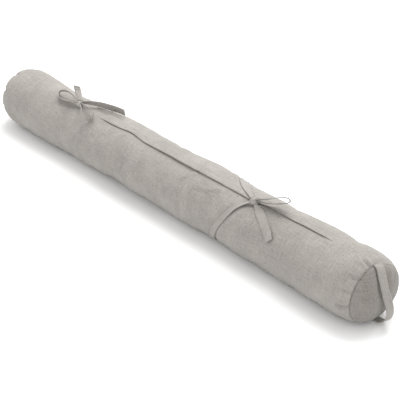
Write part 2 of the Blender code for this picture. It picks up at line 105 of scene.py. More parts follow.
LEAN = SimpleNamespace(out=0.0100, start=0.3600, length=0.0600, bulge=0.0030)

# Opening along the top: the rear flap laps over the front edge
Route = namedtuple("Route", "along turn")
OPENING_ROUTE = (
    Route(-0.185, 15.5),
    Route(-0.130, 15.0),
    Route(-0.100, 12.0),
    Route(-0.060, 16.5),
    Route(0.000, 15.0),
    Route(0.066, 17.5),
    Route(0.130, 16.0),
    Route(0.195, 13.0),
    Route(0.230, 8.0),
    Route(0.290, 9.5),
    Route(0.357, 9.5),
)
OPENING = SimpleNamespace(
    taper=0.030, widest=0.035, wide_half=0.110, rise=1.1 * MM, thickness=1.4 * MM, dip=1.5 * MM,
    extra_dip=1.8 * MM, pocket=4.0 * MM, fade_back=32.0, fade_front=20.0, fold_turn=0.3, front_turn=1.6,
)
HEM_FROM_EDGE = 11.5

# Tied band, from the knot down the front, under the cover and up the back
BAND_ROUTE = (
    Route(0.1905, 20.0),
    Route(0.1765, 35.0),
    Route(0.1680, 53.0),
    Route(0.1590, 72.0),
    Route(0.1480, 93.0),
    Route(0.1290, 136.0),
    Route(0.1170, 180.0),
    Route(0.1120, 225.0),
    Route(0.1130, 270.0),
    Route(0.1210, 305.0),
    Route(0.1350, 332.0),
    Route(0.1570, 352.0),
    Route(0.1880, 371.0),
)
GROOVE = SimpleNamespace(depth=2.8 * MM, half_width=0.020, relief=2.3 * MM, relief_half=0.0220, relief_flat=0.0125)
RIGHT_TAIL_ROUTE = (
    Route(0.2040, 20.0),
    Route(0.2110, 22.5),
    Route(0.2190, 27.0),
    Route(0.2300, 34.0),
    Route(0.2420, 43.0),
    Route(0.2530, 52.0),
    Route(0.2610, 60.0),
)
LEFT_STRAP_ROUTE = (
    Route(-0.2420, 4.0),
    Route(-0.2500, -13.0),
    Route(-0.2570, -28.0),
    Route(-0.2640, -45.0),
    Route(-0.2700, -62.0),
    Route(-0.2740, -80.0),
)
RIGHT_KNOT = SimpleNamespace(along=0.1970, turn=15.0, lift=5.6 * MM, size=(0.0080, 0.0066, 0.0050), wrap=-35.0)
LEFT_KNOT = SimpleNamespace(along=-0.2385, turn=11.0, lift=5.6 * MM, size=(0.0068, 0.0062, 0.0052), wrap=50.0)
RIBBON = SimpleNamespace(width=0.0150, front_width=0.0095, pinch=0.0055, lift=1.2 * MM, floor=0.7 * MM, hem=0.0085)

# Free ribbon pieces: centre points, the way across the ribbon, and the width there
Bend = namedtuple("Bend", "x y z across_x across_y across_z width")
RIGHT_LOOP = (
    Bend(0.2010, -0.0120, 0.1045, 0.50, -0.45, 0.40, 0.0050),
    Bend(0.2180, -0.0085, 0.1060, 0.60, -0.55, 0.50, 0.0090),
    Bend(0.2340, -0.0025, 0.1095, 0.62, -0.56, 0.55, 0.0125),
    Bend(0.2480, 0.0030, 0.1145, 0.62, -0.56, 0.55, 0.0135),
    Bend(0.2550, 0.0045, 0.1210, 0.62, -0.56, 0.55, 0.0135),
    Bend(0.2520, 0.0020, 0.1260, 0.62, -0.56, 0.55, 0.0135),
    Bend(0.2410, -0.0020, 0.1240, 0.62, -0.56, 0.55, 0.0130),
    Bend(0.2270, -0.0070, 0.1175, 0.60, -0.55, 0.58, 0.0120),
    Bend(0.2140, -0.0110, 0.1120, 0.55, -0.50, 0.67, 0.0090),
    Bend(0.2010, -0.0140, 0.1080, 0.50, -0.40, 0.77, 0.0055),
)
LEFT_LOOP = (
    Bend(-0.2420, -0.0115, 0.1045, 0.60, -0.60, 0.45, 0.0055),
    Bend(-0.2600, -0.0165, 0.1030, 0.66, -0.66, 0.30, 0.0110),
    Bend(-0.2740, -0.0190, 0.1020, 0.68, -0.70, 0.20, 0.0130),
    Bend(-0.2870, -0.0185, 0.1030, 0.66, -0.68, 0.28, 0.0130),
    Bend(-0.2920, -0.0155, 0.1075, 0.62, -0.57, 0.50, 0.0130),
    Bend(-0.2865, -0.0125, 0.1120, 0.58, -0.50, 0.62, 0.0130),
    Bend(-0.2740, -0.0105, 0.1145, 0.56, -0.48, 0.66, 0.0125),
    Bend(-0.2600, -0.0095, 0.1125, 0.58, -0.50, 0.62, 0.0105),
    Bend(-0.2430, -0.0100, 0.1080, 0.55, -0.55, 0.63, 0.0055),
)
LEFT_LOWER_LOOP = (
    Bend(-0.2360, -0.0130, 0.1060, 0.64, -0.56, 0.52, 0.0050),
    Bend(-0.2184, -0.0232, 0.1067, 0.64, -0.56, 0.52, 0.0080),
    Bend(-0.2069, -0.0317, 0.1066, 0.60, -0.56, 0.56, 0.0110),
    Bend(-0.1992, -0.0367, 0.1033, 0.58, -0.52, 0.60, 0.0115),
    Bend(-0.1941, -0.0362, 0.0996, 0.58, -0.50, 0.62, 0.0115),
    Bend(-0.1898, -0.0327, 0.0982, 0.60, -0.50, 0.60, 0.0115),
    Bend(-0.1865, -0.0275, 0.1000, 0.64, -0.52, 0.56, 0.0115),
    Bend(-0.1860, -0.0226, 0.1047, 0.64, -0.56, 0.52, 0.0115),
    Bend(-0.1887, -0.0197, 0.1093, 0.64, -0.56, 0.52, 0.0110),
    Bend(-0.1957, -0.0184, 0.1114, 0.64, -0.56, 0.52, 0.0100),
    Bend(-0.2098, -0.0164, 0.1095, 0.64, -0.56, 0.52, 0.0080),
    Bend(-0.2350, -0.0115, 0.1070, 0.64, -0.56, 0.52, 0.0050),
)
LEFT_UPRIGHT_TAIL = (
    Bend(-0.2400, -0.0085, 0.1085, 0.60, 0.50, 0.20, 0.0060),
    Bend(-0.2530, -0.0010, 0.1110, 0.72, 0.50, 0.20, 0.0110),
    Bend(-0.2620, 0.0040, 0.1130, 0.80, 0.48, 0.10, 0.0130),
    Bend(-0.2680, 0.0070, 0.1160, 0.85, 0.46, 0.00, 0.0130),
    Bend(-0.2710, 0.0085, 0.1200, 0.88, 0.46, -0.10, 0.0130),
)
LEFT_LONG_TAIL = (
    Bend(-0.2350, -0.0095, 0.1070, 0.10, -0.30, 0.95, 0.0060),
    Bend(-0.2180, 0.0000, 0.1085, 0.05, -0.25, 0.97, 0.0095),
    Bend(-0.2020, 0.0070, 0.1090, 0.00, -0.20, 0.98, 0.0120),
    Bend(-0.1850, 0.0130, 0.1085, 0.00, -0.20, 0.98, 0.0130),
    Bend(-0.1690, 0.0180, 0.1080, 0.00, -0.20, 0.98, 0.0130),
    Bend(-0.1540, 0.0215, 0.1070, 0.00, -0.20, 0.98, 0.0130),
)
HANDLE_BENDS = (
    Bend(0.4262, 0.0028, 0.0965, 0.30, 0.95, 0.00, 0.0130),
    Bend(0.4330, 0.0010, 0.0938, 0.30, 0.95, 0.00, 0.0130),
    Bend(0.4405, -0.0020, 0.0838, 0.30, 0.95, 0.00, 0.0130),
    Bend(0.4485, -0.0040, 0.0690, 0.30, 0.95, 0.00, 0.0130),
    Bend(0.4545, -0.0040, 0.0550, 0.35, 0.94, 0.00, 0.0130),
    Bend(0.4580, -0.0020, 0.0430, 0.30, 0.95, 0.00, 0.0130),
    Bend(0.4584, 0.0000, 0.0290, 0.25, 0.97, 0.00, 0.0130),
    Bend(0.4535, 0.0030, 0.0150, 0.20, 0.98, 0.00, 0.0130),
    Bend(0.4440, 0.0050, 0.0055, 0.15, 0.99, 0.00, 0.0130),
    Bend(0.4350, 0.0070, 0.0020, 0.10, 0.99, 0.00, 0.0130),
    Bend(0.4275, 0.0080, 0.0012, 0.05, 1.00, 0.00, 0.0130),
)

# Creases in the cover: a soft ridge (height above 0) or trough from one place to another
Crease = namedtuple("Crease", "from_along from_turn to_along to_turn half_width height")
CREASES = (
    Crease(-0.0813, 73.9, -0.0661, 107.4, 0.0045, 1.8 * MM),
    Crease(-0.0676, 75.7, -0.0775, 101.5, 0.0040, 1.3 * MM),
    Crease(0.0677, 83.7, 0.0633, 112.2, 0.0050, -1.4 * MM),
    Crease(0.0610, 83.0, 0.0560, 110.0, 0.0060, 0.9 * MM),
    Crease(0.1386, 82.3, 0.1324, 106.5, 0.0050, -1.0 * MM),
    Crease(0.0700, 20.6, 0.0562, 39.3, 0.0045, 1.7 * MM),
    Crease(0.1274, 26.3, 0.1089, 42.1, 0.0050, 1.4 * MM),
    Crease(0.1734, 27.8, 0.1618, 47.4, 0.0055, 1.6 * MM),
    Crease(0.1121, 43.4, 0.0895, 50.2, 0.0055, -1.0 * MM),
    Crease(-0.0661, 6.9, -0.0665, -3.0, 0.0040, 1.0 * MM),
    Crease(-0.1115, 1.7, -0.1019, -1.6, 0.0040, 1.0 * MM),
    Crease(0.0812, -3.0, 0.0754, 14.2, 0.0040, 1.1 * MM),
    Crease(0.3390, 11.8, 0.3559, 15.5, 0.0050, 0.8 * MM),
    Crease(-0.2648, 73.7, -0.2546, 84.2, 0.0060, 1.2 * MM),
    Crease(-0.3583, 19.9, -0.3577, 7.6, 0.0060, 0.9 * MM),
    Crease(-0.4021, 88.5, -0.3954, 106.8, 0.0060, 1.2 * MM),
    Crease(-0.2085, -6.0, -0.1870, -9.0, 0.0045, 1.6 * MM),
    Crease(-0.1870, -9.0, -0.1500, -15.0, 0.0045, 1.8 * MM),
    Crease(-0.2000, -1.0, -0.1500, -10.0, 0.0045, -1.2 * MM),
    Crease(0.4040, 98.6, 0.4300, 89.4, 0.0045, -2.6 * MM),
    Crease(0.4060, 91.0, 0.4290, 83.0, 0.0045, 1.2 * MM),
    Crease(0.4040, 68.0, 0.4300, 63.2, 0.0045, -1.6 * MM),
    Crease(0.4060, 61.5, 0.4300, 57.5, 0.0045, 0.9 * MM),
    Crease(0.4140, 43.6, 0.4310, 37.7, 0.0040, -1.5 * MM),
    Crease(0.4130, 7.2, 0.4310, 9.4, 0.0035, -2.4 * MM),
    Crease(0.4120, 1.5, 0.4300, 3.5, 0.0040, 1.4 * MM),
    Crease(0.4198, 22.4, 0.4247, 33.8, 0.0035, 1.2 * MM),
    Crease(0.4100, 13.0, 0.4290, 17.0, 0.0040, 1.4 * MM),
    Crease(0.4160, 118.0, 0.4300, 114.0, 0.0045, -1.2 * MM),
    Crease(0.4120, -22.0, 0.4320, -20.0, 0.0045, -1.2 * MM),
    Crease(0.4120, -48.0, 0.4320, -46.0, 0.0050, -1.3 * MM),
    Crease(0.4120, -85.0, 0.4320, -83.0, 0.0050, -1.3 * MM),
    Crease(0.4120, -120.0, 0.4320, -119.0, 0.0050, -1.3 * MM),
    Crease(-0.4350, 60.0, -0.4180, 60.0, 0.0055, -3.2 * MM),
    Crease(-0.4350, 20.0, -0.4150, 18.0, 0.0055, -1.4 * MM),
    Crease(-0.4350, -25.0, -0.4150, -24.0, 0.0055, -1.4 * MM),
    Crease(-0.4350, -75.0, -0.4150, -72.0, 0.0055, -1.5 * MM),
    Crease(-0.4350, 100.0, -0.4180, 99.0, 0.0055, -1.3 * MM),
    Crease(-0.4350, -130.0, -0.4150, -128.0, 0.0055, -1.3 * MM),
)
# Uneven filling: size of the lumps, how far they stand out
Unevenness = namedtuple("Unevenness", "size depth")
COVER_UNEVENNESS = (Unevenness(0.070, 1.3 * MM), Unevenness(0.026, 0.55 * MM), Unevenness(0.011, 0.16 * MM))

# Camera: it looks down along the bolster from the front of the handle end
CAMERA_PLACE = np.array((1.23509, -1.07274, 1.01614))
CAMERA_TARGET = np.array((0.06150, 0.0, 0.03710))
CAMERA_LENS = 103.5


class CoverSettings(bpy.types.PropertyGroup):
    colour: bpy.props.FloatVectorProperty(
        name="Cover colour", description="Washed grey linen of the cover", subtype="COLOR",
        size=3, min=0.0, max=1.0, default=(0.310, 0.291, 0.269),
    )
    ribbon_colour: bpy.props.FloatVectorProperty(
        name="Ribbon colour", description="Linen of the ribbons and the handle", subtype="COLOR",
        size=3, min=0.0, max=1.0, default=(0.320, 0.301, 0.279),
    )
    # The end panels use the cover's linen made darker. This is painted shade for the panels' faces, which are turned
    # away from the light.
    panel_colour: bpy.props.FloatVectorProperty(
        name="End panel colour with painted shade", description="Linen of the end panels, darkened as painted shade", subtype="COLOR",
        size=3, min=0.0, max=1.0, default=(0.235, 0.219, 0.200),
    )
    thread_pitch: bpy.props.FloatProperty(
        name="Thread pitch", description="Distance between threads of the weave", unit="LENGTH", default=0.0011
    )
    crease_strength: bpy.props.FloatProperty(
        name="Crease strength", description="How deep the creases are", default=1.7, min=0.0
    )
    filling_pressure: bpy.props.FloatProperty(
        name="Filling pressure", description="How hard the filling presses the cover out", default=4.0, min=0.0
    )
    puff_limit: bpy.props.FloatProperty(
        name="Puff limit", description="How far the filling may move the cloth", unit="LENGTH", default=0.0022
    )


class StitchSettings(bpy.types.PropertyGroup):
    pitch: bpy.props.FloatProperty(
        name="Stitch pitch", description="Distance between stitches", unit="LENGTH", default=0.0032
    )
    length: bpy.props.FloatProperty(
        name="Stitch length", description="Length of one stitch", unit="LENGTH", default=0.0023
    )
    thickness: bpy.props.FloatProperty(
        name="Thread thickness", description="Thickness of the sewing thread", unit="LENGTH", default=0.0004
    )


class StageSettings(bpy.types.PropertyGroup):
    floor_size: bpy.props.FloatProperty(
        name="Floor size", description="Length of the floor's side", unit="LENGTH", default=12.0
    )
    softbox_power: bpy.props.FloatProperty(
        name="Softbox power", description="Power of the overhead softbox", unit="POWER", default=42.0
    )
    sky_strength: bpy.props.FloatProperty(
        name="Sky strength", description="Strength of the even light from all round", default=1.1
    )


def read_table(rows, key, values):
    """Each column of a table at many values of its key, along a smooth curve through its rows."""
    keys = np.array([getattr(row, key) for row in rows])
    values = np.clip(np.asarray(values, float), keys[0], keys[-1])
    low = np.clip(np.searchsorted(keys, values, side="right") - 1, 0, len(keys) - 2)
    span = keys[low + 1] - keys[low]
    part = (values - keys[low]) / span
    places = np.arange(len(keys))
    before, after = np.maximum(places - 1, 0), np.minimum(places + 1, len(keys) - 1)
    columns = {}
    for name in rows[0]._fields:
        if name != key:
            column = np.array([getattr(row, name) for row in rows])
            slope = (column[after] - column[before]) / (keys[after] - keys[before])
            columns[name] = (
                (2 * part**3 - 3 * part**2 + 1) * column[low]
                + (part**3 - 2 * part**2 + part) * span * slope[low]
                + (3 * part**2 - 2 * part**3) * column[low + 1]
                + (part**3 - part**2) * span * slope[low + 1]
            )
    return SimpleNamespace(**columns)


def along_table(rows, count):
    """A table's columns at even steps from its first row to its last."""
    keyed = namedtuple("Keyed", ("place",) + rows[0]._fields)
    numbered = [keyed(place, *row) for place, row in enumerate(rows)]
    return read_table(numbered, "place", np.linspace(0, len(rows) - 1, count))


def ease(part):
    """Rise smoothly from 0 to 1."""
    part = np.clip(part, 0.0, 1.0)
    return part * part * (3 - 2 * part)


def mound(distance, half_width):
    """A smooth mound of height 1, which ends at half_width."""
    return ease(1 - np.abs(distance) / half_width)


def unevenness(points, size, seed=0.0):
    """Smooth random values between about -1 and 1 at points, with lumps of one size."""
    return np.array([noise.noise(Vector(point) / size + Vector((seed, seed, seed))) for point in points])


def opening_strength(along):
    start, end = OPENING_ROUTE[0].along, OPENING_ROUTE[-1].along
    return ease((along - start) / OPENING.taper) * ease((end - along) / OPENING.taper)


def opening_turn(along):
    return read_table(OPENING_ROUTE, "along", along).turn


def opening_dip(along):
    return OPENING.dip + OPENING.extra_dip * mound(along - OPENING.widest, OPENING.wide_half)


def band_along(turn):
    """Where the tied band crosses a turn of the cover."""
    first, last = BAND_ROUTE[0], BAND_ROUTE[-1]
    turn = first.turn + (np.asarray(turn, float) - first.turn) % 360.0
    part = np.clip((turn - last.turn) / (first.turn + 360.0 - last.turn), 0, 1)
    closing = last.along * (1 - part) + first.along * part
    return np.where(turn <= last.turn, read_table(BAND_ROUTE, "turn", turn).along, closing)


def lean(points):
    """The near end leans: its back half is fuller and reaches further out."""
    back = ease((points[..., 1] - NEAR_SEAM.sideways) / NEAR_SEAM.radius)
    back = back * ease((points[..., 0] - LEAN.start) / LEAN.length)
    return points + back[..., None] * np.array((LEAN.out, LEAN.bulge, LEAN.bulge / 2))


def cover_points(along, turn):
    """Points of the cover's outer surface, flat where it rests and raised where the band passes under."""
    along, turn = np.broadcast_arrays(np.asarray(along, float), np.asarray(turn, float))
    section = read_table(BODY_SECTIONS, "along", along)
    from_band = along - band_along(turn)
    reach = section.radius - GROOVE.depth * mound(from_band, GROOVE.half_width)
    from_opening = (turn - opening_turn(along) + 180.0) % 360.0 - 180.0
    strength = opening_strength(along)
    reach = reach + np.where(
        from_opening <= 0,
        OPENING.rise * strength * mound(from_opening, OPENING.fade_back),
        -opening_dip(along) * strength * mound(from_opening, OPENING.fade_front),
    )
    angle = np.radians(turn)
    relief = GROOVE.relief * ease((GROOVE.relief_half - np.abs(from_band)) / (GROOVE.relief_half - GROOVE.relief_flat))
    level = np.maximum(section.height + reach * np.cos(angle), relief)
    return lean(np.stack((along, section.sideways - reach * np.sin(angle), level), -1))


def cover_ring(along):
    """One section of the cover: the flap's folded edge, the pocket under it, then round to the flap again."""
    turn = float(opening_turn(along))
    strength = float(opening_strength(along))
    section = read_table(BODY_SECTIONS, "along", along)
    edge = cover_points(along, turn)
    reach = math.hypot(edge[1] - section.sideways, edge[2] - section.height)
    tuck = math.degrees(OPENING.pocket / section.radius) * strength
    drop = OPENING.rise + opening_dip(along)
    points = [edge]
    for angle, fall in (
        (turn + OPENING.fold_turn * strength, OPENING.thickness * strength),
        (turn - tuck, OPENING.thickness * strength),
        (turn - tuck, drop * strength),
        (turn + OPENING.front_turn * strength, drop * strength),
    ):
        out = (reach - fall) * math.sin(math.radians(angle))
        up = (reach - fall) * math.cos(math.radians(angle))
        points.append(np.array((along, section.sideways - out, section.height + up)))
    turns = turn + np.arange(1, POINTS_ROUND) * 360.0 / POINTS_ROUND
    return points + list(cover_points(np.full(len(turns), along), turns))


def end_ring(seam, side, depth, part, inset, turns, pucker_depth=0.0):
    """A ring of a puffed end at a part of the seam's radius, with small puckers next to the seam."""
    angle = np.radians(turns)
    reach = (seam.radius - inset) * part
    across = seam.sideways - reach * np.sin(angle)
    up = seam.height + reach * np.cos(angle)
    out = (depth - inset) * (1 - min(part, 1.0) ** CROWN_ROUNDNESS) ** CROWN_FULLNESS
    if side > 0:
        out = out * (1 - BACK_FLATTENING * ease((across - seam.sideways) / seam.radius))
        beside = mound(across - FURROW.sideways, FURROW.half_width)
        upper = ease((up - seam.height) / FURROW.starts_over)
        out = out - FURROW.depth * beside * math.sin(math.pi * part) * upper
    swell = np.cos(PUCKER.count * angle + 2.0 * np.sin(3 * angle)) * (0.6 + 0.4 * np.cos(2 * angle + 1))
    out = out + pucker_depth * swell * part**PUCKER.fade * (1 - part) * 2 * PUCKER.fade
    return lean(np.stack((seam.along + side * out, across, up), -1))


def add_ring(mesh, points):
    return [mesh.verts.new(point) for point in points]


def bridge(mesh, ring, following):
    count = len(ring)
    for i in range(count):
        j = (i + 1) % count
        mesh.faces.new((ring[i], ring[j], following[j], following[i]))


def close_end(mesh, ring, tip, last):
    tip = mesh.verts.new(tip)
    count = len(ring)
    for i in range(count):
        corners = (ring[i], ring[(i + 1) % count], tip)
        mesh.faces.new(corners if last else corners[::-1])


def link_mesh(name, mesh):
    """A bmesh in the tables' frame, tidied, moved to the part's frame and linked as an object."""
    bmesh.ops.remove_doubles(mesh, verts=mesh.verts, dist=1e-6)
    bmesh.ops.recalc_face_normals(mesh, faces=mesh.faces)
    bmesh.ops.translate(mesh, verts=mesh.verts, vec=-Vector(BOX_MIDDLE))
    data = bpy.data.meshes.new(name)
    mesh.to_mesh(data)
    mesh.free()
    item = bpy.data.objects.new(name, data)
    bpy.context.scene.collection.objects.link(item)
    return item


def coordinates(item):
    found = np.empty(len(item.data.vertices) * 3)
    item.data.vertices.foreach_get("co", found)
    return found.reshape(-1, 3)


def set_coordinates(item, points):
    item.data.vertices.foreach_set("co", np.asarray(points, float).ravel())
    item.data.update()


def applied(item):
    """Turn an object's modifiers into its own plain mesh."""
    graph = bpy.context.evaluated_depsgraph_get()
    data = bpy.data.meshes.new_from_object(item.evaluated_get(graph))
    item.modifiers.clear()
    old, item.data = item.data, data
    data.name = item.name
    bpy.data.meshes.remove(old)
    return item


def cover_place(points):
    """Along and turn of points near the cover's surface, given in the part's frame."""
    local = points + BOX_MIDDLE
    section = read_table(BODY_SECTIONS, "along", local[:, 0])
    turn = np.degrees(np.arctan2(section.sideways - local[:, 1], local[:, 2] - section.height))
    return local[:, 0], turn, section


def crease_heights(along, turn, radius):
    """How far the creases raise or lower the cover at each place."""
    total = np.zeros(len(along))
    for crease in CREASES:
        run = np.array((crease.to_along - crease.from_along, math.radians(crease.to_turn - crease.from_turn)))
        run[1] *= float(np.mean(radius))
        length = float(np.hypot(*run))
        gap = (turn - crease.from_turn + 180.0) % 360.0 - 180.0
        place = np.stack((along - crease.from_along, np.radians(gap) * radius), -1)
        part = place @ run / length**2
        beside = np.abs(place[:, 0] * run[1] - place[:, 1] * run[0]) / length
        ends = ease((part + 0.25) / 0.4) * ease((1.25 - part) / 0.4)
        total += crease.height * ends * np.clip(1 - beside / crease.half_width, 0, 1) ** 1.5
    return total


def fill_with_pressure(item, settings):
    """Let the filling press the cover out between its seams, its opening, the tied band and the floor."""
    rest = coordinates(item)
    along, turn, _ = cover_place(rest)
    held = (along < FAR_SEAM.along + 0.004) | (along > NEAR_SEAM.along - 0.001) | (rest[:, 2] < 0.0015)
    beside_opening = np.abs((turn - opening_turn(along) + 180) % 360 - 180) < 7.5
    held |= beside_opening & (opening_strength(along) > 0)
    held |= np.abs(along - band_along(turn)) < 0.008
    group = item.vertex_groups.new(name="held")
    group.add([int(i) for i in np.flatnonzero(held)], 1.0, "REPLACE")
    cloth = item.modifiers.new("Filling", "CLOTH")
    cloth.settings.quality = 5
    cloth.settings.mass = 0.15
    cloth.settings.tension_stiffness = 20
    cloth.settings.compression_stiffness = 12
    cloth.settings.shear_stiffness = 4
    cloth.settings.bending_stiffness = 0.05
    cloth.settings.shrink_min = -0.012
    cloth.settings.use_pressure = True
    cloth.settings.uniform_pressure_force = settings.filling_pressure
    cloth.settings.vertex_group_mass = "held"
    cloth.settings.effector_weights.gravity = 0.0
    cloth.point_cache.frame_start, cloth.point_cache.frame_end = 1, 20
    scene = bpy.context.scene
    for number in range(1, 21):
        scene.frame_set(number)
    graph = bpy.context.evaluated_depsgraph_get()
    moved = coordinates(SimpleNamespace(data=item.evaluated_get(graph).to_mesh())) - rest
    item.modifiers.clear()
    item.vertex_groups.clear()
    scene.frame_set(1)
    far = np.maximum(np.linalg.norm(moved, axis=1, keepdims=True), 1e-9)
    set_coordinates(item, rest + moved / far * settings.puff_limit * np.tanh(far / settings.puff_limit))


def weave_map(item, flat):
    """Write the weave's UV map from flat, the place of every mesh loop on the uncut cloth, in metres."""
    layer = item.data.uv_layers.get("weave") or item.data.uv_layers.new(name="weave")
    layer.data.foreach_set("uv", np.asarray(flat, float).ravel())


def loop_vertices(item):
    found = np.empty(len(item.data.loops), int)
    item.data.loops.foreach_get("vertex_index", found)
    return found


def linen(name, colour, settings, mottle=1.0):
    """Washed plain-weave linen: uneven threads both ways, slubs, soft mottling and a dry, slightly furry surface."""
    material = bpy.data.materials.new(name)
    material.use_nodes = True
    nodes, links = material.node_tree.nodes, material.node_tree.links
    shader = nodes["Principled BSDF"]
    shader.inputs["Roughness"].default_value = 0.92
    shader.inputs["Specular IOR Level"].default_value = 0.2
    shader.inputs["Sheen Weight"].default_value = 0.12
    shader.inputs["Sheen Roughness"].default_value = 0.5
    weave = nodes.new("ShaderNodeUVMap")
    weave.uv_map = "weave"
    place = nodes.new("ShaderNodeTexCoord").outputs["Object"]

    def threads(stretch, scale, detail, label):
        mapping = nodes.new("ShaderNodeMapping")
        mapping.label = label
        mapping.inputs["Scale"].default_value = stretch
        links.new(weave.outputs["UV"], mapping.inputs["Vector"])
        texture = nodes.new("ShaderNodeTexNoise")
        texture.inputs["Scale"].default_value = scale
        texture.inputs["Detail"].default_value = detail
        links.new(mapping.outputs["Vector"], texture.inputs["Vector"])
        return texture.outputs["Fac"]

    def mixed(first, second, share, mode="MIX"):
        node = nodes.new("ShaderNodeMix")
        node.data_type, node.blend_type = "FLOAT", mode
        node.inputs[0].default_value = share
        links.new(first, node.inputs[2])
        links.new(second, node.inputs[3])
        return node.outputs[0]

    def wave(direction):
        texture = nodes.new("ShaderNodeTexWave")
        texture.bands_direction = direction
        texture.inputs["Scale"].default_value = 1.0 / settings.thread_pitch / 3.183
        texture.inputs["Distortion"].default_value = 1.5
        texture.inputs["Detail"].default_value = 1.0
        links.new(weave.outputs["UV"], texture.inputs["Vector"])
        return texture.outputs["Fac"]

    warp = threads((0.05, 1.0, 1.0), 900, 2, "Warp threads")
    weft = threads((1.0, 0.05, 1.0), 900, 2, "Weft threads")
    slubs = mixed(warp, weft, 0.5)
    cloudy = nodes.new("ShaderNodeTexNoise")
    cloudy.inputs["Scale"].default_value = 26
    cloudy.inputs["Detail"].default_value = 5
    links.new(place, cloudy.inputs["Vector"])
    grain = nodes.new("ShaderNodeTexNoise")
    grain.inputs["Scale"].default_value = 420
    grain.inputs["Detail"].default_value = 3
    links.new(place, grain.inputs["Vector"])
    tone = mixed(mixed(slubs, grain.outputs["Fac"], 0.35), cloudy.outputs["Fac"], 0.22)
    ramp = nodes.new("ShaderNodeValToRGB")
    dark = [value * (1 - 0.42 * mottle) for value in colour]
    light = [min(value * (1 + 0.36 * mottle), 1.0) for value in colour]
    ramp.color_ramp.elements[0].position, ramp.color_ramp.elements[0].color = 0.30, (*dark, 1)
    ramp.color_ramp.elements[1].position, ramp.color_ramp.elements[1].color = 0.70, (*light, 1)
    links.new(tone, ramp.inputs["Fac"])
    links.new(ramp.outputs["Color"], shader.inputs["Base Color"])
    relief = mixed(mixed(wave("X"), wave("Y"), 0.5), slubs, 0.5)
    bump = nodes.new("ShaderNodeBump")
    bump.inputs["Strength"].default_value = 0.55
    bump.inputs["Distance"].default_value = 0.0006
    links.new(relief, bump.inputs["Height"])
    links.new(bump.outputs["Normal"], shader.inputs["Normal"])
    return material


def material(kind):
    """The linen of one kind, made once."""
    settings = bpy.context.scene.linen_cover
    name = {"cover": "Cover linen", "panel": "End panel linen", "ribbon": "Ribbon linen", "thread": "Thread"}[kind]
    found = bpy.data.materials.get(name)
    if found:
        return found
    # The panel kind takes the darker panel colour, which is painted shade for the panels' faces turned away from the
    # light.
    colours = {"cover": settings.colour, "panel": settings.panel_colour}
    colour = colours.get(kind, settings.ribbon_colour)
    return linen(name, list(colour), settings, 1.0 if kind in ("cover", "panel") else 0.7)


def surface_tree(item):
    """A search tree of a finished piece, to lay ribbons on it."""
    mesh = bmesh.new()
    mesh.from_mesh(item.data)
    tree = BVHTree.FromBMesh(mesh)
    mesh.free()
    return tree


def laid(tree, along, turn, lift):
    """Points on the cover under a place, raised by lift, no lower than the ribbon's floor. Tables' frame."""
    along, turn, lift = np.broadcast_arrays(along, turn, lift)
    section = read_table(BODY_SECTIONS, "along", along)
    points = np.empty(along.shape + (3,))
    for at in np.ndindex(along.shape):
        angle = math.radians(turn[at])
        out = Vector((0, -math.sin(angle), math.cos(angle)))
        middle = Vector((along[at], section.sideways[at], section.height[at]))
        hit = tree.ray_cast(middle + out * 0.12 - Vector(BOX_MIDDLE), -out)[0]
        points[at] = (hit + Vector(BOX_MIDDLE)) + out * lift[at]
    points[..., 2] = np.maximum(points[..., 2], RIBBON.floor)
    return points


def kept_clear(tree, grid, gap):
    """Push any point of a free ribbon that comes too close to the cover back out from it."""
    for at in np.ndindex(grid.shape[:2]):
        point = Vector(grid[at]) - Vector(BOX_MIDDLE)
        found, normal, _, _ = tree.find_nearest(point)
        if (point - found).dot(normal) < gap:
            grid[at] = found + normal * gap + Vector(BOX_MIDDLE)
    return grid


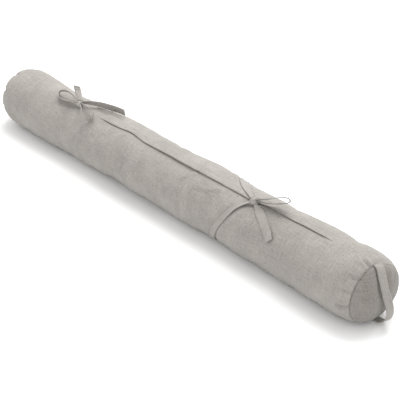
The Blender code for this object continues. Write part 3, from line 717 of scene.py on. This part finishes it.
def ribbon_piece(name, grid, thickness, kind="ribbon", crumple=0.35 * MM, hems=()):
    """A ribbon from a grid of middle points (rows along it, columns across), with rounded edges and hems."""
    rows, columns = grid.shape[:2]
    length = np.concatenate(([0], np.cumsum(np.linalg.norm(np.diff(grid[:, columns // 2], axis=0), axis=1))))
    along_way = np.gradient(grid, axis=0)
    across_way = np.gradient(grid, axis=1)
    normals = np.cross(along_way, across_way)
    normals /= np.maximum(np.linalg.norm(normals, axis=2, keepdims=True), 1e-12)
    if crumple:
        lumps = unevenness(grid.reshape(-1, 3), 0.012, seed=len(name)).reshape(rows, columns)
        grid = grid + normals * (lumps * crumple)[..., None]
    side = np.linspace(-1, 1, columns)
    body = np.full(rows, thickness)
    for end in hems:
        from_end = length if end == "start" else length[-1] - length
        body = body + 0.8 * thickness * ease((RIBBON.hem - from_end) / 0.0008)
    half = body[:, None] / 2 * np.maximum(1 - side**8, 0.12)[None, :] ** 0.5
    half = half * (1 + 0.25 * mound(np.abs(side) - 0.72, 0.2))[None, :]
    top, bottom = grid + normals * half[..., None], grid - normals * half[..., None]
    points = np.concatenate((top.reshape(-1, 3), bottom.reshape(-1, 3))) - BOX_MIDDLE
    low = rows * columns
    faces = []
    for i in range(rows - 1):
        for j in range(columns - 1):
            a, b = i * columns + j, (i + 1) * columns + j
            faces.append((a, b, b + 1, a + 1))
            faces.append((low + a, low + a + 1, low + b + 1, low + b))
        for j in (0, columns - 1):
            a, b = i * columns + j, (i + 1) * columns + j
            faces.append((a, low + a, low + b, b) if j == 0 else (a, b, low + b, low + a))
    for i in (0, rows - 1):
        for j in range(columns - 1):
            a = i * columns + j
            faces.append((a, a + 1, low + a + 1, low + a) if i == 0 else (a, low + a, low + a + 1, a + 1))
    data = bpy.data.meshes.new(name)
    data.from_pydata([tuple(point) for point in points], [], faces)
    mesh = bmesh.new()
    mesh.from_mesh(data)
    bmesh.ops.recalc_face_normals(mesh, faces=mesh.faces)
    mesh.to_mesh(data)
    mesh.free()
    data.shade_smooth()
    item = bpy.data.objects.new(name, data)
    bpy.context.scene.collection.objects.link(item)
    widths = np.linalg.norm(np.diff(grid, axis=1), axis=2).sum(1)
    flat = np.stack((np.repeat(length[:, None], columns, 1), side[None, :] * widths[:, None] / 2), -1).reshape(-1, 2)
    weave_map(item, np.concatenate((flat, flat))[loop_vertices(item)])
    data.materials.append(material(kind))
    return item, float(length[-1])


def free_grid(bends, rows, columns=9, pleat=0.9 * MM):
    """The middle grid of a free ribbon, gathered into pleats where it is pinched narrow."""
    table = along_table(bends, rows)
    centre = np.stack((table.x, table.y, table.z), -1)
    across = np.stack((table.across_x, table.across_y, table.across_z), -1)
    across /= np.linalg.norm(across, axis=1, keepdims=True)
    ahead = np.gradient(centre, axis=0)
    ahead /= np.linalg.norm(ahead, axis=1, keepdims=True)
    up = np.cross(ahead, across)
    side = np.linspace(-1, 1, columns)
    pinched = 1 - np.clip((table.width - RIBBON.pinch) / (0.0120 - RIBBON.pinch), 0, 1)
    fold = np.cos(2.5 * math.pi * side)[None, :] * (pinched * pleat)[:, None]
    grid = centre[:, None] + across[:, None] * (side[None, :] * table.width[:, None] / 2)[..., None]
    return grid + up[:, None] * fold[..., None]


def laid_grid(tree, route, rows, width, lift, columns=9):
    """The middle grid of a ribbon laid on the cover. width and lift are functions of part, and part and side."""
    table = along_table(route, rows)
    radius = read_table(BODY_SECTIONS, "along", table.along).radius
    run = np.stack((np.gradient(table.along), np.radians(np.gradient(table.turn)) * radius), -1)
    run /= np.linalg.norm(run, axis=1, keepdims=True)
    side = np.linspace(-1, 1, columns)[None, :]
    part = np.linspace(0, 1, rows)[:, None]
    reach = side * width(part) / 2
    along = table.along[:, None] - run[:, 1:] * reach
    turn = table.turn[:, None] + np.degrees(run[:, :1] * reach / radius[:, None])
    return laid(tree, along, turn, lift(part, side))


def knot_piece(name, tree, knot):
    """A small tight knot: a lump of gathered ribbon with one turn wrapped over it."""
    mesh = bmesh.new()
    bmesh.ops.create_uvsphere(mesh, u_segments=48, v_segments=28, radius=1.0)
    wrap = math.radians(knot.wrap)
    for vert in mesh.verts:
        x, y, z = vert.co
        over = x * math.cos(wrap) + y * math.sin(wrap)
        beside = -x * math.sin(wrap) + y * math.cos(wrap)
        ridge = 1 + 0.16 * float(mound(over, 0.50)) - 0.10 * float(mound(abs(over) - 0.62, 0.22))
        folds = 1 + 0.05 * math.cos(9 * beside) * float(mound(over, 0.45)) + 0.06 * math.cos(8 * y + 2 * z)
        vert.co = vert.co * ridge * folds
    seat = laid(tree, np.array([knot.along]), np.array([knot.turn]), np.array([knot.lift]))[0]
    turned = Matrix.Translation(Vector(seat)) @ Matrix.Rotation(math.radians(knot.turn), 4, "X")
    bmesh.ops.transform(mesh, matrix=turned @ Matrix.Diagonal(Vector(knot.size)).to_4x4(), verts=mesh.verts)
    item = link_mesh(name, mesh)
    item.data.shade_smooth()
    points = coordinates(item)
    weave_map(item, points[loop_vertices(item)][:, :2])
    item.data.materials.append(material("ribbon"))
    return item


def declare(item, slot, *nodes):
    """Let a finished piece ride on the one body and hide the CAD nodes that it stands for."""
    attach(item, "root")
    if nodes:
        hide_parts(*nodes)


class DRAUGHT_OT_cover(bpy.types.Operator):
    """Build the filled cover with its lapped opening, its groove under the band and its creases."""

    bl_idname = "draught.cover"
    bl_label = "Filled cover"

    def execute(self, context):
        settings = context.scene.linen_cover
        mesh = bmesh.new()
        middle = np.arange(FAR_SEAM.along + 0.016, NEAR_SEAM.along - 0.012, STATION_STEP)
        far_shoulder = FAR_SEAM.along + np.array((0.0, 0.0012, 0.003, 0.006, 0.010))
        near_shoulder = NEAR_SEAM.along - np.array((0.009, 0.0055, 0.003, 0.0015, 0.0))
        stations = np.concatenate((far_shoulder, middle, near_shoulder))
        rings = [add_ring(mesh, cover_ring(float(along))) for along in stations]
        for ring, following in zip(rings, rings[1:]):
            bridge(mesh, ring, following)
        core = PANEL_THICKNESS + 2 * GAP
        lips = len(rings[0]) - (POINTS_ROUND - 1)
        for ring, seam, side, depth in ((rings[0], FAR_SEAM, -1, FAR_CROWN), (rings[-1], NEAR_SEAM, 1, NEAR_CROWN)):
            turn = float(opening_turn(seam.along))
            steps = np.concatenate((np.zeros(lips - 1), np.arange(POINTS_ROUND)))
            turns = turn + steps * 360.0 / POINTS_ROUND
            inward = np.array((-side * GAP, 0, 0))
            rows = [end_ring(seam, side, depth, 1.0, GAP, turns)]
            rows += [end_ring(seam, side, depth, part, core, turns) for part in (1.0,) + CORE_RINGS]
            previous = ring
            for points in rows:
                current = add_ring(mesh, points + inward)
                bridge(mesh, *((previous, current) if side > 0 else (current, previous)))
                previous = current
            tip = Vector((seam.along + side * (depth - core - GAP), seam.sideways, seam.height))
            close_end(mesh, previous, tip, side > 0)
        item = link_mesh("cover", mesh)
        fill_with_pressure(item, settings)
        smooth = item.modifiers.new("Smooth cloth", "SUBSURF")
        smooth.levels = smooth.render_levels = 1
        applied(item)
        points = coordinates(item)
        along, turn, section = cover_place(points)
        inside = (along > FAR_SEAM.along - 0.001) & (along < NEAR_SEAM.along + 0.012)
        rise = crease_heights(along, turn, section.radius) * settings.crease_strength
        for seed, lump in enumerate(COVER_UNEVENNESS):
            rise += lump.depth * unevenness(points, lump.size, seed * 7.3)
        edges = np.minimum(along - FAR_SEAM.along, NEAR_SEAM.along + LEAN.out * 0.5 - along)
        rise *= ease(edges / 0.006 + 0.35) * inside
        rise *= 1 - 0.75 * mound(along - band_along(turn), 0.012)
        angle = np.radians(turn)
        outward = np.stack((np.zeros(len(angle)), -np.sin(angle), np.cos(angle)), -1)
        resting = points[:, 2] < 0.0012
        moved = points + outward * rise[:, None]
        moved[:, 2] = np.where(resting, np.maximum(points[:, 2], 0.0), np.maximum(moved[:, 2], 0.0))
        set_coordinates(item, moved)
        item.data.shade_smooth()
        verts = loop_vertices(item)
        corner_turn = turn[verts] - opening_turn(along[verts])
        corner_turn = corner_turn % 360.0
        starts = np.empty(len(item.data.polygons), int)
        item.data.polygons.foreach_get("loop_start", starts)
        face = np.searchsorted(starts, np.arange(len(verts)), side="right") - 1
        least = np.minimum.reduceat(corner_turn, starts)[face]
        most = np.maximum.reduceat(corner_turn, starts)[face]
        corner_turn = np.where((most - least > 180) & (corner_turn < 180), corner_turn + 360, corner_turn)
        weave_map(item, np.stack((along[verts], np.radians(corner_turn) * 0.052), -1))
        item.data.materials.append(material("cover"))
        declare(item, "linen_cover", "body")
        return {"FINISHED"}


class DRAUGHT_OT_end_panels(bpy.types.Operator):
    """Build the two round end panels, domed by the filling and puckered at their seams."""

    bl_idname = "draught.end_panels"
    bl_label = "End panels"

    def execute(self, context):
        turns = np.arange(POINTS_ROUND_PANEL) * 360.0 / POINTS_ROUND_PANEL
        for name, seam, side, depth in (
            ("end_panel_near", NEAR_SEAM, 1, NEAR_CROWN),
            ("end_panel_far", FAR_SEAM, -1, FAR_CROWN),
        ):
            mesh = bmesh.new()
            rims = []
            for inset in (GAP, PANEL_THICKNESS + GAP):
                rows = [
                    end_ring(seam, side, depth, part, inset, turns, PUCKER.depth) for part in (1.0,) + PANEL_RINGS
                ]
                if inset == GAP:
                    rows = [row + np.outer(unevenness(row, 0.022) * (0.6 * MM), (side, 0, 0)) for row in rows]
                rings = [add_ring(mesh, row) for row in rows]
                rims.append(rings[0])
                for ring, following in zip(rings, rings[1:]):
                    bridge(mesh, ring, following)
                tip = Vector(np.mean(rows[-1], axis=0))
                close_end(mesh, rings[-1], tip, True)
            bridge(mesh, rims[1], rims[0])
            item = link_mesh(name + "_cloth", mesh)
            item.data.shade_smooth()
            weave_map(item, coordinates(item)[loop_vertices(item)][:, 1:])
            # Panel linen darker than the cover: painted shade
            item.data.materials.append(material("panel"))
            declare(item, "linen_end_panel", name)
        return {"FINISHED"}


class DRAUGHT_OT_handle(bpy.types.Operator):
    """Build the strap handle that loops from the top of the near seam to its foot."""

    bl_idname = "draught.handle"
    bl_label = "Strap handle"

    def execute(self, context):
        grid = free_grid(HANDLE_BENDS, 110, pleat=0.0)
        grid[..., 2] = np.maximum(grid[..., 2], 1.0 * MM)
        item, length = ribbon_piece("handle_strap", grid, 1.7 * MM, crumple=0.25 * MM)
        declare(item, "linen_handle", "handle")
        return {"FINISHED"}


class DRAUGHT_OT_right_tie(bpy.types.Operator):
    """Build the right tie: its band round the bolster, knot, loop and hanging tail."""

    bl_idname = "draught.right_tie"
    bl_label = "Right tie"

    def execute(self, context):
        tree = surface_tree(bpy.data.objects["cover"])

        def band_width(part):
            full = RIBBON.front_width + (RIBBON.width - RIBBON.front_width) * ease((part - 0.3) / 0.2)
            return RIBBON.pinch + (full - RIBBON.pinch) * ease(np.minimum(part, 1 - part) / 0.10)

        def band_lift(part, side):
            front = ease(1 - part / 0.28)
            ends = ease(1 - np.minimum(part, 1 - part) / 0.06)
            return RIBBON.lift + 2.4 * MM * front * (1 - side) / 2 + 2.0 * MM * ends

        def tail_width(part):
            return RIBBON.pinch + (0.0140 - RIBBON.pinch) * ease(part / 0.28)

        def tail_lift(part, side):
            return RIBBON.lift + 3.0 * MM * ease(1 - part / 0.2) + 2.2 * MM * ease((part - 0.65) / 0.35)

        knot = knot_piece("right_bow_knot", tree, RIGHT_KNOT)
        declare(knot, "linen_ribbon", "right_tie_knot")
        grid = laid_grid(tree, BAND_ROUTE, 220, band_width, band_lift)
        band, length = ribbon_piece("right_tie_band_cloth", grid, 1.1 * MM)
        declare(band, "linen_ribbon", "right_tie_band")
        tail, length = ribbon_piece(
            "right_tail_cloth", laid_grid(tree, RIGHT_TAIL_ROUTE, 90, tail_width, tail_lift), 1.1 * MM, hems=("end",)
        )
        declare(tail, "linen_ribbon", "right_tie_tail")
        grid = kept_clear(tree, free_grid(RIGHT_LOOP, 110), 1.4 * MM)
        loop, length = ribbon_piece("right_loop_cloth", grid, 1.1 * MM)
        declare(loop, "linen_ribbon", "right_tie_loop")
        return {"FINISHED"}


class DRAUGHT_OT_left_tie(bpy.types.Operator):
    """Build the left tie: its strap from the back, knot, two loops and two tails."""

    bl_idname = "draught.left_tie"
    bl_label = "Left tie"

    def execute(self, context):
        tree = surface_tree(bpy.data.objects["cover"])

        def strap_width(part):
            return RIBBON.pinch + (RIBBON.width - RIBBON.pinch) * ease(part / 0.28)

        def strap_lift(part, side):
            return RIBBON.lift + 2.0 * MM * ease(1 - part / 0.15)

        knot = knot_piece("left_bow_knot", tree, LEFT_KNOT)
        declare(knot, "linen_ribbon", "left_tie_knot")
        strap, length = ribbon_piece(
            "left_strap_cloth", laid_grid(tree, LEFT_STRAP_ROUTE, 80, strap_width, strap_lift), 1.1 * MM
        )
        declare(strap, "linen_ribbon", "left_tie_strap")
        for name, node, bends, held, hems in (
            ("left_loop_cloth", "left_tie_loop", LEFT_LOOP, "folded", ()),
            ("left_lower_loop_cloth", "left_tie_lower_loop", LEFT_LOWER_LOOP, "folded", ()),
            ("left_upright_tail_cloth", "left_tie_upright_tail", LEFT_UPRIGHT_TAIL, "folded", ("end",)),
            ("left_long_tail_cloth", "left_tie_long_tail", LEFT_LONG_TAIL, "folded", ("end",)),
        ):
            grid = kept_clear(tree, free_grid(bends, 110), 1.2 * MM)
            item, length = ribbon_piece(name, grid, 1.1 * MM, hems=hems)
            declare(item, "linen_ribbon", node)
        return {"FINISHED"}


def stitch_tree(settings):
    """Geometry Nodes: one small thread stitch at every pitch along the input's edges."""
    tree = bpy.data.node_groups.new("Stitch line", "GeometryNodeTree")
    tree.is_modifier = True
    tree.interface.new_socket("Line", in_out="INPUT", socket_type="NodeSocketGeometry")
    for name, value in (("Pitch", settings.pitch), ("Length", settings.length), ("Thickness", settings.thickness)):
        socket = tree.interface.new_socket(name, in_out="INPUT", socket_type="NodeSocketFloat")
        socket.default_value = value
    tree.interface.new_socket("Thread", in_out="INPUT", socket_type="NodeSocketMaterial")
    tree.interface.new_socket("Stitches", in_out="OUTPUT", socket_type="NodeSocketGeometry")
    nodes, links = tree.nodes, tree.links
    given, result = nodes.new("NodeGroupInput"), nodes.new("NodeGroupOutput")
    curve = nodes.new("GeometryNodeMeshToCurve")
    spots = nodes.new("GeometryNodeCurveToPoints")
    spots.mode = "LENGTH"
    bead = nodes.new("GeometryNodeMeshUVSphere")
    bead.inputs["Segments"].default_value = 6
    bead.inputs["Rings"].default_value = 5
    bead.inputs["Radius"].default_value = 0.5
    size = nodes.new("ShaderNodeCombineXYZ")
    shaped = nodes.new("GeometryNodeTransform")
    placed = nodes.new("GeometryNodeInstanceOnPoints")
    real = nodes.new("GeometryNodeRealizeInstances")
    finish = nodes.new("GeometryNodeSetMaterial")
    links.new(given.outputs["Line"], curve.inputs["Mesh"])
    links.new(curve.outputs["Curve"], spots.inputs["Curve"])
    links.new(given.outputs["Pitch"], spots.inputs["Length"])
    links.new(given.outputs["Thickness"], size.inputs["X"])
    links.new(given.outputs["Thickness"], size.inputs["Y"])
    links.new(given.outputs["Length"], size.inputs["Z"])
    links.new(bead.outputs["Mesh"], shaped.inputs["Geometry"])
    links.new(size.outputs["Vector"], shaped.inputs["Scale"])
    links.new(spots.outputs["Points"], placed.inputs["Points"])
    links.new(spots.outputs["Rotation"], placed.inputs["Rotation"])
    links.new(shaped.outputs["Geometry"], placed.inputs["Instance"])
    links.new(placed.outputs["Instances"], real.inputs["Geometry"])
    links.new(real.outputs["Geometry"], finish.inputs["Geometry"])
    links.new(given.outputs["Thread"], finish.inputs["Material"])
    links.new(finish.outputs["Geometry"], result.inputs["Stitches"])
    return tree


class DRAUGHT_OT_stitches(bpy.types.Operator):
    """Sew the hem line along the opening, the edges of the handle and the hems of the tails."""

    bl_idname = "draught.stitches"
    bl_label = "Stitches"

    def execute(self, context):
        tree = surface_tree(bpy.data.objects["cover"])
        lines = []
        along = np.linspace(OPENING_ROUTE[0].along + 0.02, OPENING_ROUTE[-1].along - 0.012, 260)
        hem_turn = opening_turn(along) - HEM_FROM_EDGE
        seen = np.abs(along - band_along(hem_turn)) > 0.012
        hem = laid(tree, along, hem_turn, np.full(len(along), 0.1 * MM))
        lines.append((hem, seen))
        for name in ("right_tail_cloth", "left_long_tail_cloth", "left_upright_tail_cloth"):
            points = coordinates(bpy.data.objects[name]) + BOX_MIDDLE
            rows = points.reshape(2, -1, 9, 3)
            way = np.linalg.norm(np.diff(rows[0][:, 4], axis=0), axis=1)
            row = int(np.searchsorted(np.cumsum(way), way.sum() - RIBBON.hem + 0.0012))
            for face in (0, 1):
                lines.append((rows[face][row, 1:8], np.ones(7, bool)))
        strap = (coordinates(bpy.data.objects["handle_strap"]) + BOX_MIDDLE).reshape(2, -1, 9, 3)
        for column in (1, 7):
            for face in (0, 1):
                lines.append((strap[face][4:-4, column], np.ones(len(strap[face]) - 8, bool)))
        mesh = bmesh.new()
        for points, seen in lines:
            verts = add_ring(mesh, points - BOX_MIDDLE)
            for i in range(len(verts) - 1):
                if seen[i] and seen[i + 1]:
                    mesh.edges.new((verts[i], verts[i + 1]))
        bmesh.ops.delete(mesh, geom=[v for v in mesh.verts if not v.link_edges], context="VERTS")
        data = bpy.data.meshes.new("stitches")
        mesh.to_mesh(data)
        mesh.free()
        item = bpy.data.objects.new("stitches", data)
        context.scene.collection.objects.link(item)
        sewing = item.modifiers.new("Stitch line", "NODES")
        sewing.node_group = stitch_tree(context.scene.linen_stitches)
        sockets = {s.name: s.identifier for s in sewing.node_group.interface.items_tree if s.in_out == "INPUT"}
        sewing[sockets["Thread"]] = material("thread")
        applied(item)
        weave_map(item, coordinates(item)[loop_vertices(item)][:, :2])
        item.data.shade_smooth()
        declare(item, "linen_ribbon")
        return {"FINISHED"}


class DRAUGHT_OT_stage(bpy.types.Operator):
    """Set the pale floor, the soft light and the camera."""

    bl_idname = "draught.stage"
    bl_label = "Stage"

    def execute(self, context):
        settings, scene = context.scene.linen_stage, context.scene
        mesh = bmesh.new()
        bmesh.ops.create_grid(mesh, x_segments=1, y_segments=1, size=settings.floor_size / 2)
        data = bpy.data.meshes.new("floor")
        mesh.to_mesh(data)
        mesh.free()
        floor = bpy.data.objects.new("floor", data)
        scene.collection.objects.link(floor)
        paper = bpy.data.materials.new("White paper")
        paper.use_nodes = True
        shader = paper.node_tree.nodes["Principled BSDF"]
        shader.inputs["Base Color"].default_value = (0.93, 0.93, 0.93, 1)
        shader.inputs["Roughness"].default_value = 1.0
        shader.inputs["Specular IOR Level"].default_value = 0.0
        data.materials.append(paper)
        world = bpy.data.worlds.new("Even light")
        scene.world = world
        world.use_nodes = True
        world.node_tree.nodes["Background"].inputs["Color"].default_value = (1, 1, 1, 1)
        world.node_tree.nodes["Background"].inputs["Strength"].default_value = settings.sky_strength
        light = bpy.data.lights.new("Softbox", "AREA")
        light.shape, light.size, light.energy = "DISK", 2.0, settings.softbox_power
        softbox = bpy.data.objects.new("Softbox", light)
        softbox.location = (-0.25, 0.85, 1.9)
        softbox.rotation_euler = (Vector((0.05, 0, 0)) - softbox.location).to_track_quat("-Z", "Y").to_euler()
        scene.collection.objects.link(softbox)
        lens = bpy.data.cameras.new("Camera")
        lens.sensor_width, lens.lens = 36.0, CAMERA_LENS
        camera = bpy.data.objects.new("Camera", lens)
        place = Vector(CAMERA_PLACE - BOX_MIDDLE)
        camera.location = place
        camera.rotation_euler = (Vector(CAMERA_TARGET - BOX_MIDDLE) - place).to_track_quat("-Z", "Y").to_euler()
        scene.collection.objects.link(camera)
        scene.camera = camera
        scene.view_settings.view_transform = "Standard"
        return {"FINISHED"}


class DRAUGHT_PT_panel(bpy.types.Panel):
    """Sidebar panel with the settings and the pieces."""

    bl_idname = "DRAUGHT_PT_panel"
    bl_label = "Draught excluder"
    bl_space_type = "VIEW_3D"
    bl_region_type = "UI"
    bl_category = "Draught excluder"

    def draw(self, context):
        for group in (context.scene.linen_cover, context.scene.linen_stitches, context.scene.linen_stage):
            box = self.layout.box()
            for name in group.__annotations__:
                box.prop(group, name)
        for operator in OPERATORS:
            self.layout.operator(operator.bl_idname)


OPERATORS = (
    DRAUGHT_OT_cover,
    DRAUGHT_OT_end_panels,
    DRAUGHT_OT_handle,
    DRAUGHT_OT_right_tie,
    DRAUGHT_OT_left_tie,
    DRAUGHT_OT_stitches,
    DRAUGHT_OT_stage,
)
GROUPS = (("linen_cover", CoverSettings), ("linen_stitches", StitchSettings), ("linen_stage", StageSettings))


def register():
    for name, group in GROUPS:
        bpy.utils.register_class(group)
        setattr(bpy.types.Scene, name, bpy.props.PointerProperty(type=group))
    for cls in OPERATORS + (DRAUGHT_PT_panel,):
        bpy.utils.register_class(cls)


def unregister():
    for cls in reversed(OPERATORS + (DRAUGHT_PT_panel,)):
        bpy.utils.unregister_class(cls)
    for name, group in GROUPS:
        delattr(bpy.types.Scene, name)
        bpy.utils.unregister_class(group)


def main():
    register()
    for operator in OPERATORS:
        group, name = operator.bl_idname.split(".")
        getattr(getattr(bpy.ops, group), name)()


if __name__ == "__main__":
    main()
